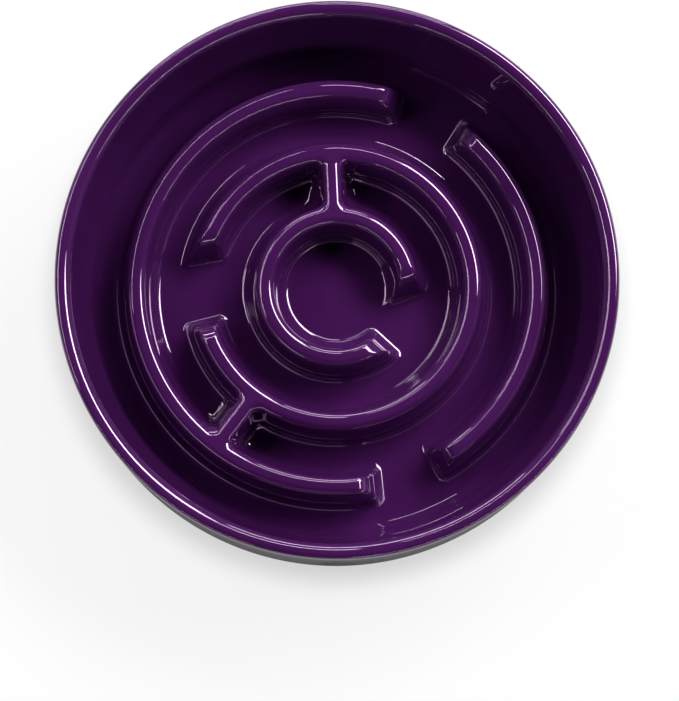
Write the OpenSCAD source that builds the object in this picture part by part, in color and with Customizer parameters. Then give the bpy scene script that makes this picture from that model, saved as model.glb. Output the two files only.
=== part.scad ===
// Slow feeder bowl: one moulded shell with a maze of three broken rings,
// standing on six rubber feet. The origin is the centre of the circle of
// feet on the table, and +Z is up.

/* [Bowl] */
// Diameter over the rim
bowl_d = 210; // [196:1:240]
// Height from the table to the top of the rim
bowl_h = 55; // [50:0.5:66]
// Height of the eating floor above the table
floor_z = 12.4; // [11.5:0.1:15]
// Thickness of the inner wall and the floor
wall_t = 3; // [2.6:0.1:3.3]
// Thickness of the outer skirt
skirt_t = 2.8; // [2:0.1:3]
// Width of the rim, over its two rounded edges
rim_w = 6.2; // [6:0.1:7.2]
// Rounding of the rim's inner edge
rim_inner_round = 4; // [3:0.1:4.1]
// Rounding of the rim's outer edge
rim_outer_round = 1.5; // [1:0.1:1.8]
// Slope of the inner wall from upright, in degrees
wall_draft = 9.5; // [8.5:0.5:12]
// Taper of the outer skirt from upright, in degrees
skirt_taper = 1; // [0.5:0.1:2]
// Gap under the skirt's lower edge
skirt_gap = 1.5; // [1:0.1:2.5]
// Radius where the floor turns up into the wall
floor_fillet = 5; // [3:0.1:6]

/* [Maze] */
// Height of the ridges above the floor
ridge_h = 18.6; // [14:0.1:24]
// Width of a ridge's crown, before its edges are rounded
crown_w = 6.2; // [5.8:0.1:7]
// Slope of the ridges' sides from upright, in degrees
ridge_draft = 11; // [9:0.5:13]
// Rounding along the edges of a crown
crown_round = 3.2; // [2:0.1:3.3]
// Radius where a ridge's side runs out into the floor
ridge_fillet = 4; // [2:0.1:5]
// Slope of the ridges' end faces from upright, in degrees
end_draft = 15; // [12:0.5:18]
// Rounding where a crown rolls over into an end face
end_round = 7; // [5:0.1:7.5]
// Radius where an end face runs out into the floor
end_fillet = 3.5; // [2:0.1:4]
// Radius of the inner ring, at the middle of its crown
inner_ring_r = 27.2; // [25:0.1:29]
// Distance from the middle of the outer ring's crown to the foot of the wall
outer_channel_w = 16.3; // [15:0.1:18]
// Direction of the spoke from the inner to the middle ring, in degrees
inner_spoke_dir = 92.5; // [80:0.5:110]
// Direction of the spoke from the middle to the outer ring, in degrees
outer_spoke_dir = 233; // [220:0.5:250]

/* [Ribs] */
// Number of ribs between the inner wall and the skirt
rib_count = 6; // [3:1:12]
// Thickness of a rib
rib_t = 2; // [1.2:0.1:3]
// Width of the closed end of the space between the wall and the skirt
cavity_top_w = 1.6; // [1:0.1:2]

/* [Feet] */
// Diameter of a foot
foot_d = 11.4; // [9:0.1:12]
// Thickness of a foot's pad
foot_t = 3; // [2.6:0.1:4]
// Bevel round a foot's lower edge
foot_bevel = 0.8; // [0.3:0.1:1.2]
// Diameter of the stem that plugs into the bowl
stem_d = 5; // [4:0.1:6]
// Length of the stem
stem_l = 5; // [3:0.1:5.5]
// Clearance round a stem in its socket
stem_clear = 0.05; // [0.02:0.01:0.1]
// Room left above the end of a stem
stem_room = 0.6; // [0.3:0.1:1]
// How far a boss stands out round its foot
boss_margin = 0.3; // [0.1:0.1:0.6]
// Web between a boss and the hollow of the outer ring
boss_web = 0.8; // [0.5:0.1:1.5]

/* [Hidden] */

// One node for each foot
foot_count = 6;

bowl_color = "#3d1148";
foot_color = "#26242a";

// Flat steps in the rounded edges of the rings, the spokes and the end faces,
// which differ so that no two faces' steps meet in one point
ring_steps = 5;
spoke_steps = 6;
end_steps = 7;
// Flat steps in the wall's roundings, and in the rim's two edges
wall_steps = 6;
rim_steps = 8;
// Facets of a foot and its boss, in the drawn view
round_facets = 64;
facets_round_a_ring = 120;
facet_min_l = 0.4;
// Overrun of a cut past the face that it opens
cut_over = 1;
// How deep the root of a ridge or a boss is buried in the floor, as a share of
// the floor's thickness
root_share = 0.5;
boss_root_share = 0.7;
// How far a rounding starts past the face that it runs into
blend_over = 0.08;

crown_z = floor_z + ridge_h;
under_z = floor_z - wall_t;
// Lowest level of a ridge, buried in the floor
ridge_root_z = floor_z - root_share * wall_t;

// Rim: a narrow flat whose edges roll over into the inner wall and the skirt
rim_inner_c = [bowl_d / 2 - rim_w + rim_inner_round, bowl_h - rim_inner_round];
rim_outer_c = [bowl_d / 2 - rim_outer_round, bowl_h - rim_outer_round];
wall_top = rim_inner_c + rim_inner_round * [-cos(wall_draft), sin(wall_draft)];
skirt_top = rim_outer_c + rim_outer_round * [cos(skirt_taper), -sin(skirt_taper)];
skirt_edge_z = skirt_gap + skirt_t / 2;

// Radius of each face at a height
function wall_r(z) = wall_top.x - (wall_top.y - z) * tan(wall_draft);
function wall_back_r(z) = wall_r(z) + wall_t / cos(wall_draft);
function skirt_r(z) = skirt_top.x - (skirt_top.y - z) * tan(skirt_taper);
function skirt_back_r(z) = skirt_r(z) - skirt_t / cos(skirt_taper);

// The rings are evenly spaced between the centre and the wall
ring_count = 3;
ring_pitch = (wall_r(floor_z) - outer_channel_w - inner_ring_r) / (ring_count - 1);
ring_r = [for (i = [0:ring_count - 1]) inner_ring_r + i * ring_pitch];

// Ridges as [ring, start of the crown, turn of the start face, end of the
// crown, turn of the end face], anticlockwise from +X, in degrees
ridges = [
    [2, 75, -3, 278.6, -2.5],
    [2, 302.8, -3.3, 409, 8.5],
    [1, 198.9, -4.7, 521.2, 28],
    [0, 6, 13, 302.8, 14.5],
];
// Spokes as [inner ring, direction]
spokes = [[0, inner_spoke_dir], [1, outer_spoke_dir]];

function arc(c, r, from, to, steps) =
    [for (i = [0:steps]) let (a = from + (to - from) * i / steps) c + r * [cos(a), sin(a)]];

// Distance from a sharp edge to where its rounding starts
function rounding_run(r, draft) = r * tan((90 - draft) / 2);

// Side or end of a ridge as [distance out from the crown's edge, height]
function flank(top_z, foot_z, draft, top_round, foot_round, steps) =
    let (top_run = rounding_run(top_round, draft))
    let (foot = (top_z - foot_z) * tan(draft) + rounding_run(foot_round, draft))
    concat(
        arc([-top_run, top_z - top_round], top_round, 90, draft, steps),
        arc([foot, foot_z + foot_round], foot_round, 180 + draft, 270, steps)
    );

// How far the foot of a ridge's side or end lies out from its crown's edge
ridge_foot = ridge_h * tan(ridge_draft) + rounding_run(ridge_fillet, ridge_draft);
end_foot = ridge_h * tan(end_draft) + rounding_run(end_fillet, end_draft);
ridge_half_w = crown_w / 2 + ridge_foot;

// Cross-section of a ridge about its middle, down into the floor
module ridge_section(top_z, foot_z, steps) {
    side = flank(top_z, foot_z, ridge_draft, crown_round, ridge_fillet, steps);
    outer = [for (p = side) [crown_w / 2 + p.x, p.y]];
    foot_x = outer[len(outer) - 1].x;
    right = concat(outer, [[foot_x, ridge_root_z]]);
    left = [for (i = [len(right) - 1:-1:0]) [-right[i].x, right[i].y]];
    polygon(concat(right, left));
}

// What an end face takes off a ridge that runs along +Y
end_reach = 2 * ridge_half_w;
module end_cut() {
    foot_z = floor_z - 3 * blend_over;
    side = flank(crown_z + blend_over, foot_z, end_draft, end_round, end_fillet, end_steps);
    outline = concat(
        [[side[0].x, crown_z + cut_over]],
        side,
        [[end_reach, foot_z], [end_reach, crown_z + cut_over]]
    );
    rotate([90, 0, 90]) linear_extrude(2 * end_reach, center = true) polygon(outline);
}

// Angle past the end of a crown at which the end face's foot meets a radius
function foot_angle(ring, turn, r) = turn + asin((end_foot - ring_r[ring] * sin(turn)) / r);

// Angle past the end of a crown by which its ridge has run out everywhere
spare_angle = 1;
function end_spare(ring, turn) = spare_angle + max(
    foot_angle(ring, turn, ring_r[ring] - ridge_half_w),
    foot_angle(ring, turn, ring_r[ring] + ridge_half_w)
);

// Keeps what lies between two directions, over the width of a ridge
module between(ring, from, to) {
    half_w = ridge_half_w + cut_over;
    intersection() {
        children();
        rotate([0, 0, from]) rotate_extrude(angle = to - from)
            translate([ring_r[ring] - half_w, 0]) square([2 * half_w, crown_z + 2 * cut_over]);
    }
}

// One ridge round a ring, cut off by an end face at either end. Each cut keeps
// to its own half, as the ends of the inner ring's ridge lie close together
module ring_ridge(ring, from, from_turn, to, to_turn) {
    r = ring_r[ring];
    first = from - end_spare(ring, -from_turn);
    last = to + end_spare(ring, to_turn);
    middle = (from + to) / 2;
    difference() {
        rotate([0, 0, first]) rotate_extrude(angle = last - first)
            translate([r, 0]) ridge_section(crown_z, floor_z - blend_over, ring_steps);
        between(ring, first - spare_angle, middle)
            rotate([0, 0, from]) translate([r, 0, 0]) rotate([0, 0, from_turn])
                mirror([0, 1, 0]) end_cut();
        between(ring, middle, last + spare_angle)
            rotate([0, 0, to]) translate([r, 0, 0]) rotate([0, 0, to_turn]) end_cut();
    }
}

module spoke_ridge(ring, dir) {
    rotate([0, 0, dir]) translate([ring_r[ring], 0, 0])
        rotate([90, 0, 90]) linear_extrude(ring_pitch)
            ridge_section(crown_z - blend_over, floor_z - 2 * blend_over, spoke_steps);
}

// Hollow beneath a ridge, which keeps the moulded wall even
core_top_w = wall_t / 2;
core_side = wall_t / cos(ridge_draft);
core_top_z = crown_z - (core_top_w / 2 + core_side - crown_w / 2) / tan(ridge_draft);
core_foot_z = under_z - cut_over;
core_half_w = crown_w / 2 + (crown_z - under_z) * tan(ridge_draft) - core_side;
core_foot_half_w = core_half_w + cut_over * tan(ridge_draft);

module core_section() {
    polygon([
        [-core_foot_half_w, core_foot_z], [core_foot_half_w, core_foot_z],
        [core_top_w / 2, core_top_z], [-core_top_w / 2, core_top_z]
    ]);
}

module ring_core(ring, from, to) {
    r = ring_r[ring];
    back = wall_t / r * 180 / PI;
    rotate([0, 0, from + back])
        rotate_extrude(angle = to - from - 2 * back) translate([r, 0]) core_section();
}

module spoke_core(ring, dir) {
    rotate([0, 0, dir]) translate([ring_r[ring], 0, 0])
        rotate([90, 0, 90]) linear_extrude(ring_pitch) core_section();
}

// Height at which the space between wall and skirt has closed to cavity_top_w
cavity_top_z = (skirt_back_r(0) - wall_back_r(0) - cavity_top_w) / (tan(wall_draft) - tan(skirt_taper));
floor_fillet_c = [
    wall_r(floor_z) - rounding_run(floor_fillet, wall_draft),
    floor_z + floor_fillet
];

module shell() {
    rotate_extrude()
        polygon(concat(
            [[0, floor_z]],
            arc(floor_fillet_c, floor_fillet, 270, 360 - wall_draft, wall_steps),
            arc(rim_inner_c, rim_inner_round, 180 - wall_draft, 90, rim_steps),
            arc(rim_outer_c, rim_outer_round, 90, -skirt_taper, rim_steps),
            arc([skirt_r(skirt_edge_z) - skirt_t / 2, skirt_edge_z], skirt_t / 2, 0, -180, wall_steps),
            [[skirt_back_r(cavity_top_z), cavity_top_z], [wall_back_r(cavity_top_z), cavity_top_z]],
            arc(floor_fillet_c, floor_fillet + wall_t, 360 - wall_draft, 270, wall_steps),
            [[0, under_z]]
        ));
}

// Upright rib between the back of the inner wall and the skirt
module rib() {
    top_z = cavity_top_z + root_share * wall_t;
    wall_root = root_share * wall_t;
    skirt_root = root_share * skirt_t;
    rotate([90, 0, 0]) linear_extrude(rib_t, center = true)
        polygon([
            [wall_back_r(floor_z) - wall_root, floor_z],
            [skirt_back_r(floor_z) + skirt_root, floor_z],
            [skirt_back_r(top_z) + skirt_root, top_z],
            [wall_back_r(top_z) - wall_root, top_z]
        ]);
}

// Feet: each plugs into a boss between the outer ring and the wall
boss_d = foot_d + 2 * boss_margin;
foot_r = ring_r[ring_count - 1] + core_half_w + boss_web + boss_d / 2;
boss_top_z = under_z + boss_root_share * wall_t;
foot_step = 360 / foot_count;

function foot_dir(n) = (n - 1 / 2) * foot_step;
function rib_dir(n) = (n - 1) * 360 / rib_count;

module boss() {
    translate([foot_r, 0, foot_t]) cylinder(d = boss_d, h = boss_top_z - foot_t, $fn = round_facets);
}

module socket() {
    translate([foot_r, 0, foot_t - cut_over])
        cylinder(d = stem_d + 2 * stem_clear, h = cut_over + stem_l + stem_room, $fn = round_facets);
}

module bowl() {
    color(bowl_color) difference() {
        union() {
            shell();
            for (p = ridges) ring_ridge(p[0], p[1], p[2], p[3], p[4]);
            for (p = spokes) spoke_ridge(p[0], p[1]);
            for (n = [1:rib_count]) rotate([0, 0, rib_dir(n)]) rib();
            for (n = [1:foot_count]) rotate([0, 0, foot_dir(n)]) boss();
        }
        for (p = ridges) ring_core(p[0], p[1], p[3]);
        for (p = spokes) spoke_core(p[0], p[1]);
        for (n = [1:foot_count]) rotate([0, 0, foot_dir(n)]) socket();
    }
}

module foot(n) {
    pad_r = foot_d / 2;
    stem_r = stem_d / 2;
    tip_z = foot_t + stem_l;
    color(foot_color)
        rotate([0, 0, foot_dir(n)]) translate([foot_r, 0, 0])
            rotate_extrude($fn = round_facets)
                polygon([
                    [0, 0], [pad_r - foot_bevel, 0], [pad_r, foot_bevel], [pad_r, foot_t],
                    [stem_r, foot_t], [stem_r, tip_z - foot_bevel], [stem_r - foot_bevel, tip_z],
                    [0, tip_z]
                ]);
}

$fa = 360 / facets_round_a_ring;
$fs = facet_min_l;

bowl();
foot(1);  // foot_1
foot(2);  // foot_2
foot(3);  // foot_3
foot(4);  // foot_4
foot(5);  // foot_5
foot(6);  // foot_6
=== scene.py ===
import math

import bpy
import numpy as np
from mathutils import Matrix, Vector


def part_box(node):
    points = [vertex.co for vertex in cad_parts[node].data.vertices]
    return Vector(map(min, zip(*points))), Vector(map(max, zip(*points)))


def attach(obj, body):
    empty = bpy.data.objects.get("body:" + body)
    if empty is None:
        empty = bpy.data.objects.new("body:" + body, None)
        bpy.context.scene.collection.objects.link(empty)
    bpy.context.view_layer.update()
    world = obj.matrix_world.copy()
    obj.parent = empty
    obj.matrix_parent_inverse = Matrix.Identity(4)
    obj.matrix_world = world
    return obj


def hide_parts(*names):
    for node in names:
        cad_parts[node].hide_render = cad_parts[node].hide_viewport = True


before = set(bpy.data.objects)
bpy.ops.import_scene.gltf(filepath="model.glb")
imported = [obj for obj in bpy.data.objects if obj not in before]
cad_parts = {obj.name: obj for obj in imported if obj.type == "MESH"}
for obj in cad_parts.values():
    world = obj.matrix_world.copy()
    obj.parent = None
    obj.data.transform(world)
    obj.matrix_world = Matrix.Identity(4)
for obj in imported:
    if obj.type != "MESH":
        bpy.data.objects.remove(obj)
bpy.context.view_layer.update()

# Sizes are in millimetres and degrees, and a mesh is scaled to metres when it is made
MM = 0.001

# Bowl: its box in the CAD gives the rim and the gap under the skirt, and the
# rest repeats the source's sizes, but for a rounder outer edge of the rim
BOWL_LOW, BOWL_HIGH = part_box("bowl")
RIM_R = BOWL_HIGH.x / MM
RIM_TOP = BOWL_HIGH.z / MM
SKIRT_GAP = BOWL_LOW.z / MM
FLOOR_Z = 12.4
WALL_T = 3.0
SKIRT_T = 2.8
RIM_W = 6.2
RIM_INNER_ROUND = 4.0
RIM_OUTER_ROUND = 2.1
WALL_DRAFT = 9.5
SKIRT_TAPER = 1.0
FLOOR_FILLET = 5.0
CAVITY_TOP_W = 1.6
CAVITY_ROUND = 0.7

# Maze
RIDGE_H = 18.6
CROWN_W = 6.2
RIDGE_DRAFT = 11.0
CROWN_ROUND = 3.2
RIDGE_FILLET = 4.0
END_DRAFT = 15.0
END_ROUND = 7.0
END_FILLET = 3.5
INNER_RING_R = 27.2
OUTER_CHANNEL_W = 16.3
RINGS = 3
# Ridges as (ring, start of the crown, turn of the start face, end of the crown,
# turn of the end face), anticlockwise from +X
RIDGES = (
    (2, 75.0, -3.0, 278.6, -2.5),
    (2, 302.8, -3.3, 409.0, 8.5),
    (1, 198.9, -4.7, 521.2, 28.0),
    (0, 6.0, 13.0, 302.8, 14.5),
)
# Spokes as (inner ring, direction)
SPOKES = ((0, 92.5), (1, 233.0))
# Radius in plan of a ridge's outer corners at crown level, how fast it grows
# down the flank, its limits, the radius where a spoke meets a ring, and how
# fast a spoke falls away inside the rings that it joins
CORNER_R = 1.3
CORNER_GROWTH = 0.35
CORNER_LIMITS = (0.9, 3.6)
JUNCTION_R = 3.2
SPOKE_END_FALL = 2

# Hollows beneath the ridges
CORE_TOP_W = WALL_T / 2
CORE_TOP_ROUND = 0.6
CORE_LIP_ROUND = 0.8

# Ribs, bosses and feet
RIB_COUNT = 6
RIB_T = 2.0
RIB_EDGE_ROUND = 0.6
FOOT_COUNT = 6
FOOT_D = 11.4
FOOT_T = 3.0
BOSS_MARGIN = 0.3
BOSS_WEB = 0.8
BOSS_FILLET = 1.0
PAD_BEVEL = 0.8
PAD_TOP_ROUND = 0.3
PAD_CLEAR = 0.02
PAD_GROOVES = (1.9, 3.3)
PAD_GROOVE_R = 0.45
PAD_DISH_R = 0.2
PAD_DISH = 0.25

# Fineness of the meshes: angles between columns, and along roundings
ANGLE_STEP = 1.5
LATHE_STEP = 6
ARC_STEP = 7.0
UNDER_ARC_STEP = 18.0
RIM_ARC_STEP = 4.0
# Steps in the straight lines of the rim's profile: the wall, the top, the
# skirt, the skirt's back and the wall's back
PROFILE_STEPS = (6, 2, 6, 4, 6)
WALL_STEP = 0.5
# Gap between the bands of two rings, which a strip of triangles fills
BAND_GAP = 0.2
# Distance over which a surface's slope is taken
SLOPE_STEP = 0.004
# Columns on a crown before its end, as (runs of the rounding, further by),
# and how far past an end's or a spoke's foot the last column lies
CROWN_COLUMNS = ((2, 2.0), (1, 0.8))
END_MARGIN = 0.1
SPOKE_MARGIN = 0.7
# Columns nearer to each other than this angle are one
MIN_COLUMN_GAP = 0.001


def sin(a):
    return np.sin(np.radians(a))


def cos(a):
    return np.cos(np.radians(a))


def tan(a):
    return np.tan(np.radians(a))


def arcsin(a):
    return np.degrees(np.arcsin(a))


RIM_INNER_C = (RIM_R - RIM_W + RIM_INNER_ROUND, RIM_TOP - RIM_INNER_ROUND)
RIM_OUTER_C = (RIM_R - RIM_OUTER_ROUND, RIM_TOP - RIM_OUTER_ROUND)


def wall_r(z):
    top_r = RIM_INNER_C[0] - RIM_INNER_ROUND * float(cos(WALL_DRAFT))
    top_z = RIM_INNER_C[1] + RIM_INNER_ROUND * float(sin(WALL_DRAFT))
    return top_r - (top_z - z) * float(tan(WALL_DRAFT))


def wall_back_r(z):
    return wall_r(z) + WALL_T / float(cos(WALL_DRAFT))


def skirt_r(z):
    top_r = RIM_OUTER_C[0] + RIM_OUTER_ROUND * float(cos(SKIRT_TAPER))
    top_z = RIM_OUTER_C[1] - RIM_OUTER_ROUND * float(sin(SKIRT_TAPER))
    return top_r - (top_z - z) * float(tan(SKIRT_TAPER))


def skirt_back_r(z):
    return skirt_r(z) - SKIRT_T / float(cos(SKIRT_TAPER))


RING_PITCH = (wall_r(FLOOR_Z) - OUTER_CHANNEL_W - INNER_RING_R) / (RINGS - 1)


def rounding_run(r, draft):
    """Distance from a sharp edge to where its rounding starts."""
    return r * tan((90 - draft) / 2)


class Flank:
    """Side of a ridge: its height over the floor at a distance out from the crown's nominal edge."""

    def __init__(self, height, draft, top_round, foot_round, arc_step):
        self.height = height
        self.draft = draft
        self.top_round = top_round
        self.foot_round = foot_round
        self.arc_step = arc_step
        self.top_run = rounding_run(top_round, draft)
        self.top_end = top_round * cos(draft) - self.top_run
        self.foot = height * tan(draft) + rounding_run(foot_round, draft)
        self.foot_start = self.foot - foot_round * cos(draft)

    def at(self, d):
        """Height over the floor at a distance out."""
        out = np.clip((d + self.top_run) / self.top_round, 0, cos(self.draft))
        back = np.clip((self.foot - d) / self.foot_round, 0, cos(self.draft))
        top = self.height - self.top_round * (1 - np.sqrt(1 - out * out))
        foot = self.foot_round * (1 - np.sqrt(1 - back * back))
        wall = self.height - d / tan(self.draft)
        return np.where(d < self.top_end, top, np.where(d > self.foot_start, foot, wall))

    def out_at(self, height):
        """Distance out at which the flank has come down to a height."""
        drop = np.clip(self.height - height, 0, self.height)
        top_drop = self.top_round * (1 - sin(self.draft))
        foot_rise = self.foot_round * (1 - sin(self.draft))
        top_up = self.top_round - np.minimum(drop, self.top_round)
        foot_up = self.foot_round - np.minimum(self.height - drop, self.foot_round)
        top = np.sqrt(self.top_round**2 - top_up**2) - self.top_run
        foot = self.foot - np.sqrt(self.foot_round**2 - foot_up**2)
        wall = drop * tan(self.draft)
        return np.where(drop < top_drop, top, np.where(self.height - drop < foot_rise, foot, wall))

    def as_far_down(self, b, end):
        """Distance out at which this flank is as low as another is at b."""
        over = math.sqrt(self.top_round / end.top_round) * (b + end.top_run) - self.top_run
        past = math.sqrt(self.foot_round / end.foot_round) * (b - end.foot) + self.foot
        between = self.out_at(end.at(np.clip(b, -end.top_run, end.foot)))
        return np.where(b < -end.top_run, over, np.where(b > end.foot, past, between))

    def stations(self):
        """Distances at which a mesh follows the flank closely."""
        turn = 90 - self.draft
        steps = math.ceil(turn / self.arc_step)
        angles = [turn * i / steps for i in range(steps + 1)]
        walls = math.ceil((self.foot_start - self.top_end) / WALL_STEP)
        top = [self.top_round * float(sin(a)) - self.top_run for a in angles]
        wall = [self.top_end + (self.foot_start - self.top_end) * i / walls for i in range(1, walls)]
        foot = [self.foot - self.foot_round * float(sin(a)) for a in reversed(angles)]
        return top + wall + foot


RIDGE_FLANK = Flank(RIDGE_H, RIDGE_DRAFT, CROWN_ROUND, RIDGE_FILLET, ARC_STEP)
END_FLANK = Flank(RIDGE_H, END_DRAFT, END_ROUND, END_FILLET, ARC_STEP)
RIDGE_HALF_W = CROWN_W / 2 + float(RIDGE_FLANK.foot)
UNDER_Z = FLOOR_Z - WALL_T
CORE_SIDE = WALL_T / float(cos(RIDGE_DRAFT))
CORE_TOP_Z = FLOOR_Z + RIDGE_H - (CORE_TOP_W / 2 + CORE_SIDE - CROWN_W / 2) / float(tan(RIDGE_DRAFT))
CORE_FLANK = Flank(CORE_TOP_Z - UNDER_Z, RIDGE_DRAFT, CORE_TOP_ROUND, CORE_LIP_ROUND, UNDER_ARC_STEP)


def ring_r(ring):
    return INNER_RING_R + ring * RING_PITCH


def round_outside(a, b, r):
    """The larger of two distances, with a round corner where they are alike."""
    blend = (a + b) / 2 + r - np.sqrt(np.maximum(2 * r * r - (a - b) ** 2, 0)) / 2
    return np.where(np.abs(a - b) < r, blend, np.maximum(a, b))


def round_inside(a, b, r):
    """The smaller of two distances, with a fillet where they are alike."""
    return -round_outside(-a, -b, r)


def wrap(angle):
    """The same direction, from -180 to 180."""
    return (angle + 180) % 360 - 180


def past_end(r, angle, ring, turn):
    """Distance past a ridge's end face, from the angle past the end of its crown."""
    return r * sin(np.clip(angle - turn, -90, 90)) + ring_r(ring) * sin(turn)


def end_line(r, b, ring, turn):
    """Angle past the end of the crown at which a line lies b past the end face."""
    return turn + arcsin((b - ring_r(ring) * sin(turn)) / np.maximum(r, ring_r(ring) - RIDGE_HALF_W))


class Maze:
    """The ridges, or the hollows beneath them: heights, normals and a grid that follows them."""

    def __init__(self, flank, end_flank, half_w, set_back, base_z, up):
        self.flank = flank
        self.end_flank = end_flank
        self.half_w = half_w
        self.set_back = set_back
        self.base_z = base_z
        self.up = up

    def ridge_distance(self, r, theta, ridge):
        """How far a point lies out from a crown's nominal edge."""
        ring, start, start_turn, end, end_turn = ridge
        middle = (start + end) / 2
        turned = wrap(theta - middle)
        span = (end - start) / 2
        past_last = past_end(r, wrap(turned - span), ring, end_turn)
        past_first = past_end(r, wrap(-turned - span), ring, -start_turn)
        nearer = np.minimum if span > 90 else np.maximum
        past = self.flank.as_far_down(nearer(past_last, past_first) + self.set_back, self.end_flank)
        side = np.abs(r - ring_r(ring)) - self.half_w
        corner = np.clip(CORNER_R + CORNER_GROWTH * (side + past) / 2, *CORNER_LIMITS)
        return round_outside(side, past, corner)

    def spoke_distance(self, r, theta, spoke):
        ring, direction = spoke
        along = r * cos(theta - direction)
        aside = np.abs(r * sin(theta - direction)) - self.half_w
        short = SPOKE_END_FALL * np.maximum(ring_r(ring) - along, along - ring_r(ring + 1))
        return np.maximum(aside, short)

    def z(self, r, theta):
        ridges = [self.ridge_distance(r, theta, ridge) for ridge in RIDGES]
        spokes = [self.spoke_distance(r, theta, spoke) for spoke in SPOKES]
        d = round_inside(np.minimum.reduce(ridges), np.minimum.reduce(spokes), JUNCTION_R)
        return self.base_z + self.flank.at(d)

    def normals(self, r, theta):
        x, y = r * cos(theta), r * sin(theta)

        def z(x, y):
            return self.z(np.hypot(x, y), np.degrees(np.arctan2(y, x)))

        slope_x = (z(x + SLOPE_STEP, y) - z(x - SLOPE_STEP, y)) / (2 * SLOPE_STEP)
        slope_y = (z(x, y + SLOPE_STEP) - z(x, y - SLOPE_STEP)) / (2 * SLOPE_STEP)
        n = np.stack([-slope_x, -slope_y, np.ones_like(x)], -1)
        return self.up * n / np.linalg.norm(n, axis=-1, keepdims=True)

    def rows(self, ring):
        """Radii of the rows of one ring's band."""
        edge = RING_PITCH / 2 - BAND_GAP / 2
        out = [self.half_w + s for s in self.flank.stations()]
        out = [0, out[0] / 2] + [s for s in out if s > 0] + [edge]
        return np.array(sorted({round(ring_r(ring) + k * s, 6) for s in out for k in (-1, 1)}))

    def columns(self, ring, rows):
        """Angles of the columns at each row: they follow end faces and spokes."""
        lines = []
        stations = self.flank.stations()
        end_stations = self.end_flank.stations()
        inside = [-runs * self.end_flank.top_run - further for runs, further in CROWN_COLUMNS]
        for ridge_ring, start, start_turn, end, end_turn in RIDGES:
            if ridge_ring != ring:
                continue
            for b in inside + end_stations + [self.end_flank.foot + END_MARGIN]:
                shifted = b - self.set_back
                lines.append(end + end_line(rows, shifted, ring, end_turn))
                lines.append(start - end_line(rows, shifted, ring, -start_turn))
        for inner, direction in SPOKES:
            if ring not in (inner, inner + 1):
                continue
            reach = np.maximum(rows, ring_r(ring)) if ring == inner else np.minimum(rows, ring_r(ring))
            for s in [-self.half_w] + stations + [self.flank.foot + SPOKE_MARGIN]:
                for side in (-1, 1):
                    lines.append(direction + side * arcsin((self.half_w + s) / reach))
        lines = [np.where(line[len(rows) // 2] < 360, line, line - 360) for line in lines]
        lines.sort(key=lambda line: line[len(rows) // 2])
        unique = [lines[0]]
        for line in lines[1:]:
            if np.min(line - unique[-1]) > MIN_COLUMN_GAP:
                unique.append(line)
        lines = unique + [unique[0] + 360]
        filled = []
        for a, b in zip(lines, lines[1:]):
            steps = math.ceil(np.max(b - a) / ANGLE_STEP)
            filled += [a + (b - a) * i / steps for i in range(steps)]
        return np.stack(filled, 1)


class Shell:
    """Collects the points, normals and faces of one closed skin."""

    def __init__(self):
        self.points = []
        self.normals = []
        self.faces = []
        self.count = 0

    def add(self, points, normals):
        first = self.count
        points = np.asarray(points, float).reshape(-1, 3)
        self.points.append(points)
        self.normals.append(np.asarray(normals, float).reshape(-1, 3))
        self.count += len(points)
        return np.arange(first, self.count)

    def face(self, corners, up):
        self.faces.append(tuple(int(c) for c in (corners if up > 0 else corners[::-1])))

    def grid(self, ids, up):
        """Quads between rows of points that run outwards, each row a closed ring."""
        across = np.roll(ids, -1, 1)
        quads = np.stack([ids[:-1], ids[1:], across[1:], across[:-1]], -1).reshape(-1, 4)
        if up < 0:
            quads = quads[:, ::-1]
        self.faces += [tuple(q) for q in quads.tolist()]

    def zip_rings(self, inner, inner_angle, outer, outer_angle, up):
        """Triangles between two rings of points whose angles differ."""
        rings = []
        for ids, angle in ((inner, inner_angle % 360), (outer, outer_angle % 360)):
            first = int(np.argmin(angle))
            ids, angle = np.roll(ids, -first), np.roll(angle, -first)
            rings.append((np.append(ids, ids[0]), np.append(angle, angle[0] + 360)))
        (inner, inner_angle), (outer, outer_angle) = rings
        i = j = 0
        while i < len(inner) - 1 or j < len(outer) - 1:
            inner_next = inner_angle[i + 1] if i < len(inner) - 1 else math.inf
            outer_next = outer_angle[j + 1] if j < len(outer) - 1 else math.inf
            if inner_next <= outer_next:
                self.face((inner[i], outer[j], inner[i + 1]), up)
                i += 1
            else:
                self.face((inner[i], outer[j], outer[j + 1]), up)
                j += 1

    def fan(self, centre, ring, up):
        for a, b in zip(ring, np.roll(ring, -1)):
            self.face((centre, a, b), up)

    def object(self, name, material):
        mesh = bpy.data.meshes.new(name)
        mesh.from_pydata((np.concatenate(self.points) * MM).tolist(), [], self.faces)
        mesh.polygons.foreach_set("use_smooth", [True] * len(mesh.polygons))
        mesh.update()
        mesh.normals_split_custom_set_from_vertices(np.concatenate(self.normals).tolist())
        mesh.materials.append(material)
        made = bpy.data.objects.new(name, mesh)
        bpy.context.scene.collection.objects.link(made)
        return made


def polar(r, theta, z):
    return np.stack(np.broadcast_arrays(r * cos(theta), r * sin(theta), z), -1)


def add_maze(shell, maze):
    """Adds a maze from its centre to the last band's edge, and returns that edge's points and angles."""
    up = maze.up
    before = None
    for ring in range(RINGS):
        rows = maze.rows(ring)
        theta = maze.columns(ring, rows)
        r = np.broadcast_to(rows[:, None], theta.shape)
        ids = shell.add(polar(r, theta, maze.z(r, theta)), maze.normals(r, theta)).reshape(theta.shape)
        shell.grid(ids, up)
        if before is None:
            centre = shell.add([[0, 0, maze.base_z]], [[0, 0, up]])[0]
            shell.fan(centre, ids[0], up)
        else:
            shell.zip_rings(*before, ids[0], theta[0], up)
        before = (ids[-1], theta[-1])
    return before


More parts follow.
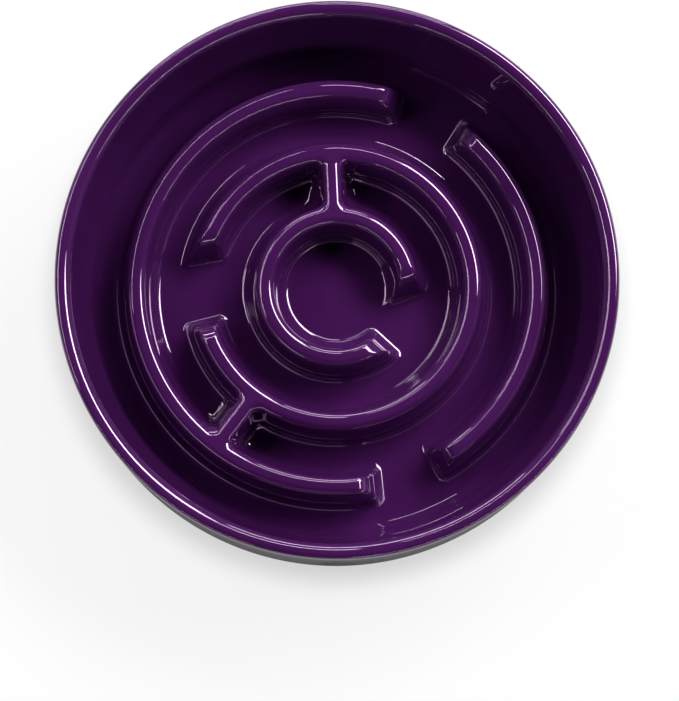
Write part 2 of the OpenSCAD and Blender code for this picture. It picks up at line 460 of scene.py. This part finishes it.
def arc(centre, r, start, end, hollow=False):
    """Points of a profile as (radius, height, normal), along an arc."""
    steps = max(2, math.ceil(abs(end - start) / RIM_ARC_STEP))
    side = -1 if hollow else 1
    points = []
    for i in range(steps + 1):
        a = start + (end - start) * i / steps
        c, s = float(cos(a)), float(sin(a))
        points.append((centre[0] + r * c, centre[1] + r * s, side * c, side * s))
    return points


def straight(a, b, steps):
    """Points between the last of one arc and the first of the next."""
    return [
        tuple(p + (q - p) * i / steps for p, q in zip(a[:2], b[:2])) + a[2:]
        for i in range(1, steps)
    ]


CAVITY_TOP_Z = (skirt_back_r(0) - wall_back_r(0) - CAVITY_TOP_W) / float(
    tan(WALL_DRAFT) - tan(SKIRT_TAPER)
)


def rim_profile():
    """From the edge of the floor over the rim, down the skirt and back beneath."""
    fillet_c = (wall_r(FLOOR_Z) - float(rounding_run(FLOOR_FILLET, WALL_DRAFT)), FLOOR_Z + FLOOR_FILLET)
    edge_z = SKIRT_GAP + SKIRT_T / 2
    edge_c = (skirt_r(edge_z) - SKIRT_T / 2, edge_z)
    top_z = CAVITY_TOP_Z - CAVITY_ROUND
    cavity_top = (skirt_back_r(CAVITY_TOP_Z) + wall_back_r(CAVITY_TOP_Z)) / 2
    parts = [
        arc(fillet_c, FLOOR_FILLET, 270, 360 - WALL_DRAFT, hollow=True),
        arc(RIM_INNER_C, RIM_INNER_ROUND, 180 - WALL_DRAFT, 90),
        arc(RIM_OUTER_C, RIM_OUTER_ROUND, 90, -SKIRT_TAPER),
        arc(edge_c, SKIRT_T / 2, -SKIRT_TAPER, -180 - SKIRT_TAPER),
        arc((cavity_top, top_z), CAVITY_TOP_W / 2, -SKIRT_TAPER, 180 - WALL_DRAFT, hollow=True),
        arc(fillet_c, FLOOR_FILLET + WALL_T, 360 - WALL_DRAFT, 270),
    ]
    profile = list(parts[0])
    for part, steps in zip(parts[1:], PROFILE_STEPS):
        profile += straight(profile[-1], part[0], steps) + part
    return profile


def add_rim(shell, top_edge, under_edge):
    profile = np.array(rim_profile())
    theta = np.arange(0, 360, ANGLE_STEP)
    r = profile[:, :1]
    points = polar(r, theta[None], profile[:, 1:2])
    normals = polar(profile[:, 2:3], theta[None], profile[:, 3:4])
    ids = shell.add(points, normals).reshape(len(profile), len(theta))
    shell.grid(ids, 1)
    shell.zip_rings(*top_edge, ids[0], theta, 1)
    shell.zip_rings(*under_edge, ids[-1], theta, -1)


def foot_r():
    core_half_w = CROWN_W / 2 + (FLOOR_Z + RIDGE_H - UNDER_Z) * float(tan(RIDGE_DRAFT)) - CORE_SIDE
    return ring_r(RINGS - 1) + core_half_w + BOSS_WEB + FOOT_D / 2 + BOSS_MARGIN


def foot_place(n):
    """Middle of foot n on the table."""
    direction = (n - 0.5) * 360 / FOOT_COUNT
    return np.array([foot_r() * cos(direction), foot_r() * sin(direction), 0])


def add_lathe(shell, profile, place):
    """A turned piece about an upright line through place, from its axis to its axis."""
    profile = np.array(profile)
    theta = np.arange(0, 360, LATHE_STEP)
    points = polar(profile[:, :1], theta[None], profile[:, 1:2]) + place
    normals = polar(profile[:, 2:3], theta[None], profile[:, 3:4])
    ids = shell.add(points, normals).reshape(len(profile), len(theta))
    shell.grid(ids, 1)
    for row, end in ((ids[0], 0), (ids[-1], -1)):
        side = np.sign(profile[end, 3])
        centre = shell.add([place + [0, 0, profile[end, 1]]], [[0, 0, side]])[0]
        shell.fan(centre, row, side)


def add_bosses(shell):
    r = FOOT_D / 2 + BOSS_MARGIN
    for n in range(1, FOOT_COUNT + 1):
        skin = arc((r + BOSS_FILLET, UNDER_Z - BOSS_FILLET), BOSS_FILLET, 90, 180, hollow=True)
        lip = arc((r - RIB_EDGE_ROUND, FOOT_T + RIB_EDGE_ROUND), RIB_EDGE_ROUND, 0, -90)
        hidden = [(skin[0][0], UNDER_Z + WALL_T / 2, 0, 1)]
        add_lathe(shell, hidden + skin + lip, foot_place(n))


def add_ribs(shell):
    """Each rib is a plate whose lower edge is rounded; its ends lie inside the walls."""
    half = RIB_T / 2
    low = arc((half - RIB_EDGE_ROUND, FLOOR_Z + RIB_EDGE_ROUND), RIB_EDGE_ROUND, 0, -90)
    right = [(half, CAVITY_TOP_Z, 1, 0)] + low
    section = right + [(-t, z, -nt, nz) for t, z, nt, nz in reversed(right)]
    for n in range(RIB_COUNT):
        turn = 360 / RIB_COUNT * n
        rows = []
        for inner in (True, False):
            for t, z, nt, nz in section:
                r = wall_back_r(z) - WALL_T / 2 if inner else skirt_back_r(z) + SKIRT_T / 2
                rows.append((r * cos(turn) - t * sin(turn), r * sin(turn) + t * cos(turn), z))
        normals = [(-nt * sin(turn), nt * cos(turn), nz) for t, z, nt, nz in section] * 2
        ids = shell.add(rows, normals).reshape(2, len(section))
        shell.grid(ids, 1)
        shell.face(ids[0], -1)
        shell.face(ids[1], 1)


def make_bowl(material):
    shell = Shell()
    top = Maze(RIDGE_FLANK, END_FLANK, CROWN_W / 2, 0, FLOOR_Z, 1)
    under = Maze(CORE_FLANK, CORE_FLANK, CORE_TOP_W / 2, WALL_T, UNDER_Z, -1)
    add_rim(shell, add_maze(shell, top), add_maze(shell, under))
    add_bosses(shell)
    add_ribs(shell)
    bowl = shell.object("bowl_moulding", material)
    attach(bowl, "root")
    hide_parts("bowl")


def make_foot(n, material):
    """A rubber pad: its stem is inside the boss, so only the pad has detail."""
    shell = Shell()
    r = FOOT_D / 2
    top_z = FOOT_T - PAD_CLEAR
    skin = [(r - BOSS_MARGIN - PAD_TOP_ROUND - RIB_EDGE_ROUND, top_z, 0, 1)]
    skin += arc((r - PAD_TOP_ROUND, top_z - PAD_TOP_ROUND), PAD_TOP_ROUND, 90, 0)
    skin += arc((r - PAD_BEVEL, PAD_BEVEL), PAD_BEVEL, 0, -90)
    for inset in PAD_GROOVES:
        skin += arc((r - inset, 0), PAD_GROOVE_R, 0, 180, hollow=True)
    skin.append((PAD_DISH_R, PAD_DISH, 0, -1))
    add_lathe(shell, skin, foot_place(n))
    foot = shell.object(f"foot_pad_{n}", material)
    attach(foot, "root")
    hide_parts(f"foot_{n}")


# Between these lie most values of a noise, for a range and for a colour ramp
RANGE_SPAN = (0.3, 0.7)
RAMP_SPAN = (0.35, 0.65)

# Noises are (scale, detail), and bumps are (strength, distance in metres)
PLASTIC_COLOURS = ((0.046, 0.0066, 0.068), (0.054, 0.0086, 0.080))
PLASTIC_DRIFT = (22, 3)
PLASTIC_ROUGHNESS = (0.012, 0.03)
PLASTIC_HAZE = (90, 6)
PLASTIC_RIPPLE = (35, 1)
PLASTIC_RIPPLE_BUMP = (0.15, 0.0006)
PLASTIC_GRAIN = (1400, 2)
PLASTIC_GRAIN_BUMP = (0.02, 0.0001)
PLASTIC_SOCKETS = {
    "IOR": 1.75,
    "Specular Tint": (1, 0.72, 1, 1),
    "Coat Weight": 0.25,
    "Coat Roughness": 0.012,
}
RUBBER_COLOURS = ((0.016, 0.015, 0.018), (0.027, 0.026, 0.03))
RUBBER_DRIFT = (160, 4)
RUBBER_ROUGHNESS = (0.62, 0.78)
RUBBER_GRAIN = (2600, 3)
RUBBER_GRAIN_BUMP = (0.5, 0.0001)


def new_material(name):
    material = bpy.data.materials.new(name)
    material.use_nodes = True
    nodes = material.node_tree.nodes
    return material, nodes, material.node_tree.links, nodes["Principled BSDF"]


def add_noise(nodes, links, coordinates, scale, detail):
    noise = nodes.new("ShaderNodeTexNoise")
    noise.inputs["Scale"].default_value = scale
    noise.inputs["Detail"].default_value = detail
    links.new(coordinates, noise.inputs["Vector"])
    return noise.outputs["Fac"]


def add_ramp(nodes, links, factor, colours, span=RAMP_SPAN):
    ramp = nodes.new("ShaderNodeValToRGB")
    for element, position, colour in zip(ramp.color_ramp.elements, span, colours):
        element.position = position
        element.color = (*colour, 1)
    links.new(factor, ramp.inputs["Fac"])
    return ramp.outputs["Color"]


def add_range(nodes, links, factor, low, high):
    span = nodes.new("ShaderNodeMapRange")
    span.inputs["From Min"].default_value, span.inputs["From Max"].default_value = RANGE_SPAN
    span.inputs["To Min"].default_value = low
    span.inputs["To Max"].default_value = high
    links.new(factor, span.inputs["Value"])
    return span.outputs["Result"]


def add_bump(nodes, links, height, strength, distance, before=None):
    bump = nodes.new("ShaderNodeBump")
    bump.inputs["Strength"].default_value = strength
    bump.inputs["Distance"].default_value = distance
    links.new(height, bump.inputs["Height"])
    if before is not None:
        links.new(before, bump.inputs["Normal"])
    return bump.outputs["Normal"]


def gloss_plastic():
    """Dark purple moulded plastic: soft colour drift, sink ripple and faint wiping haze."""
    material, nodes, links, shader = new_material("gloss_purple_plastic")
    place = nodes.new("ShaderNodeTexCoord").outputs["Object"]
    drift = add_noise(nodes, links, place, *PLASTIC_DRIFT)
    links.new(add_ramp(nodes, links, drift, PLASTIC_COLOURS), shader.inputs["Base Color"])
    haze = add_noise(nodes, links, place, *PLASTIC_HAZE)
    links.new(add_range(nodes, links, haze, *PLASTIC_ROUGHNESS), shader.inputs["Roughness"])
    ripple = add_noise(nodes, links, place, *PLASTIC_RIPPLE)
    grain = add_noise(nodes, links, place, *PLASTIC_GRAIN)
    normal = add_bump(nodes, links, ripple, *PLASTIC_RIPPLE_BUMP)
    normal = add_bump(nodes, links, grain, *PLASTIC_GRAIN_BUMP, normal)
    links.new(normal, shader.inputs["Normal"])
    for socket, value in PLASTIC_SOCKETS.items():
        shader.inputs[socket].default_value = value
    return material


def foot_rubber():
    """Matt dark rubber with a fine moulded grain."""
    material, nodes, links, shader = new_material("matt_dark_rubber")
    place = nodes.new("ShaderNodeTexCoord").outputs["Object"]
    drift = add_noise(nodes, links, place, *RUBBER_DRIFT)
    links.new(add_ramp(nodes, links, drift, RUBBER_COLOURS), shader.inputs["Base Color"])
    grain = add_noise(nodes, links, place, *RUBBER_GRAIN)
    links.new(add_range(nodes, links, grain, *RUBBER_ROUGHNESS), shader.inputs["Roughness"])
    links.new(add_bump(nodes, links, grain, *RUBBER_GRAIN_BUMP), shader.inputs["Normal"])
    return material


# Floor, in metres, and how much of its white is its own, which a camera or a
# reflection sees. Its own white is dimmed where the bowl is within reach: the
# openness at which that shadow is full and at which it is gone, and the share
# of it that the camera doesn't see, so that it darkens the skirt's reflections
# more than the floor
FLOOR_HALF_M = 2.5
FLOOR_COLOUR = (0.9, 0.9, 0.9, 1)
FLOOR_ROUGHNESS = 0.9
FLOOR_GLOW = 0.86
CONTACT_REACH_M = 0.014
CONTACT_OPENNESS = (0.58, 0.96)
CONTACT_LIFT = 0.7
BLACK, WHITE = (0, 0, 0), (1, 1, 1)


def scaled(nodes, links, factor, by):
    scale = nodes.new("ShaderNodeMath")
    scale.operation = "MULTIPLY"
    scale.inputs[1].default_value = by
    links.new(factor, scale.inputs[0])
    return scale.outputs[0]


def make_floor():
    """A plain white floor that keeps the bowl's soft shadow."""
    material, nodes, links, shader = new_material("studio_floor")
    shader.inputs["Base Color"].default_value = FLOOR_COLOUR
    shader.inputs["Roughness"].default_value = FLOOR_ROUGHNESS
    glow = nodes.new("ShaderNodeEmission")
    seen = nodes.new("ShaderNodeMixShader")
    path = nodes.new("ShaderNodeLightPath")
    factor = path.outputs["Is Camera Ray"]
    for ray in ("Is Glossy Ray", "Is Transmission Ray"):
        either = nodes.new("ShaderNodeMath")
        either.operation = "MAXIMUM"
        links.new(factor, either.inputs[0])
        links.new(path.outputs[ray], either.inputs[1])
        factor = either.outputs[0]
    links.new(scaled(nodes, links, factor, FLOOR_GLOW), seen.inputs["Fac"])
    links.new(shader.outputs[0], seen.inputs[1])
    shadow = nodes.new("ShaderNodeAmbientOcclusion")
    shadow.inputs["Distance"].default_value = CONTACT_REACH_M
    near = add_ramp(nodes, links, shadow.outputs["AO"], (BLACK, WHITE), CONTACT_OPENNESS)
    lifted = nodes.new("ShaderNodeMix")
    lifted.data_type = "RGBA"
    lift = scaled(nodes, links, path.outputs["Is Camera Ray"], CONTACT_LIFT)
    links.new(lift, lifted.inputs["Factor"])
    links.new(near, lifted.inputs["A"])
    lifted.inputs["B"].default_value = (*WHITE, 1)
    links.new(lifted.outputs["Result"], glow.inputs["Color"])
    links.new(glow.outputs[0], seen.inputs[2])
    links.new(seen.outputs[0], nodes["Material Output"].inputs["Surface"])
    half = FLOOR_HALF_M
    mesh = bpy.data.meshes.new("studio_floor")
    corners = [(-half, -half, 0), (half, -half, 0), (half, half, 0), (-half, half, 0)]
    mesh.from_pydata(corners, [], [(0, 1, 2, 3)])
    mesh.materials.append(material)
    floor = bpy.data.objects.new("studio_floor", mesh)
    bpy.context.scene.collection.objects.link(floor)


# Lamps as (name, azimuth, elevation, width, height, radiance), in degrees and
# metres, all at one distance. The thin strips draw the fine lines on crowns
# and rim
LAMP_DISTANCE_M = 1.4
SOFTBOXES = (
    ("softbox_right", 38, 43, 1.1, 0.35, 19),
    ("softbox_left", 165, 42, 1.2, 0.05, 21),
    ("softbox_back", 71, 51, 0.7, 0.08, 17),
    ("softbox_low", 98, 22, 1.4, 0.1, 18),
    ("strip_back_left", 138, 54, 1.3, 0.03, 24),
    ("strip_front_right", -52, 20, 1.8, 0.025, 23),
    ("strip_front_left", 228, 20, 1.1, 0.02, 21),
)
# Low bands of light all round, as between the panels of a light tent, as the
# sines of the elevations where each starts and ends, and their strength
BANDS = ((0.03, 0.07), (0.38, 0.42))
BAND_EDGE = 0.01
BAND_STRENGTH = 0.9


def add_softbox(name, azimuth, elevation, width, height, radiance):
    """A rectangular lamp aimed at the bowl; its power follows from its radiance."""
    lamp = bpy.data.lights.new(name, "AREA")
    lamp.shape = "RECTANGLE"
    lamp.size = width
    lamp.size_y = height
    lamp.energy = radiance * math.pi * width * height
    a, e = math.radians(azimuth), math.radians(elevation)
    direction = Vector((math.cos(e) * math.cos(a), math.cos(e) * math.sin(a), math.sin(e)))
    made = bpy.data.objects.new(name, lamp)
    made.location = direction * LAMP_DISTANCE_M
    made.rotation_euler = (-direction).to_track_quat("-Z", "Y").to_euler()
    bpy.context.scene.collection.objects.link(made)


def light_studio():
    world = bpy.data.worlds.new("studio")
    world.use_nodes = True
    nodes, links = world.node_tree.nodes, world.node_tree.links
    background = nodes["Background"]
    background.inputs["Strength"].default_value = BAND_STRENGTH
    place = nodes.new("ShaderNodeTexCoord").outputs["Generated"]
    split = nodes.new("ShaderNodeSeparateXYZ")
    ramp = nodes.new("ShaderNodeValToRGB").color_ramp
    ramp.elements[-1].color = (0, 0, 0, 1)
    for low, high in BANDS:
        for position, level in ((low, 0), (low + BAND_EDGE, 1), (high - BAND_EDGE, 1), (high, 0)):
            ramp.elements.new(position).color = (level, level, level, 1)
    links.new(place, split.inputs[0])
    links.new(split.outputs["Z"], nodes["Color Ramp"].inputs["Fac"])
    links.new(nodes["Color Ramp"].outputs["Color"], background.inputs["Color"])
    bpy.context.scene.world = world
    for softbox in SOFTBOXES:
        add_softbox(*softbox)


# Camera: fitted to the photograph's rim and rings, in pixels, millimetres and
# degrees, with the tilt from straight down
FRAME_W, FRAME_H = 679, 701
FOCAL_PX = 3391
CENTRE_PX = (337.5, 283.0)
LOOK_AT = (0.105, -2.17, 52.5)
CAMERA_DISTANCE = 1260
CAMERA_TILT = 8.3
CAMERA_AZIMUTH = -3.3
SENSOR_MM = 36


def make_camera():
    data = bpy.data.cameras.new("camera")
    data.sensor_fit = "HORIZONTAL"
    data.sensor_width = SENSOR_MM
    data.lens = FOCAL_PX * SENSOR_MM / FRAME_W
    data.shift_x = (FRAME_W / 2 - CENTRE_PX[0]) / FRAME_W
    data.shift_y = (CENTRE_PX[1] - FRAME_H / 2) / FRAME_W
    az, tilt = math.radians(CAMERA_AZIMUTH), math.radians(CAMERA_TILT)
    back = Vector((math.sin(az) * math.sin(tilt), -math.cos(az) * math.sin(tilt), math.cos(tilt)))
    right = Vector((0, 1, 0)).cross(back).normalized()
    up = back.cross(right)
    turn = Matrix((right, up, back)).transposed()
    camera = bpy.data.objects.new("camera", data)
    place = (Vector(LOOK_AT) + back * CAMERA_DISTANCE) * MM
    camera.matrix_world = Matrix.Translation(place) @ turn.to_4x4()
    bpy.context.scene.collection.objects.link(camera)
    bpy.context.scene.camera = camera


bpy.context.scene.view_settings.view_transform = "Standard"
make_camera()
light_studio()
make_floor()
make_bowl(gloss_plastic())
rubber = foot_rubber()
for n in range(1, FOOT_COUNT + 1):
    make_foot(n, rubber)
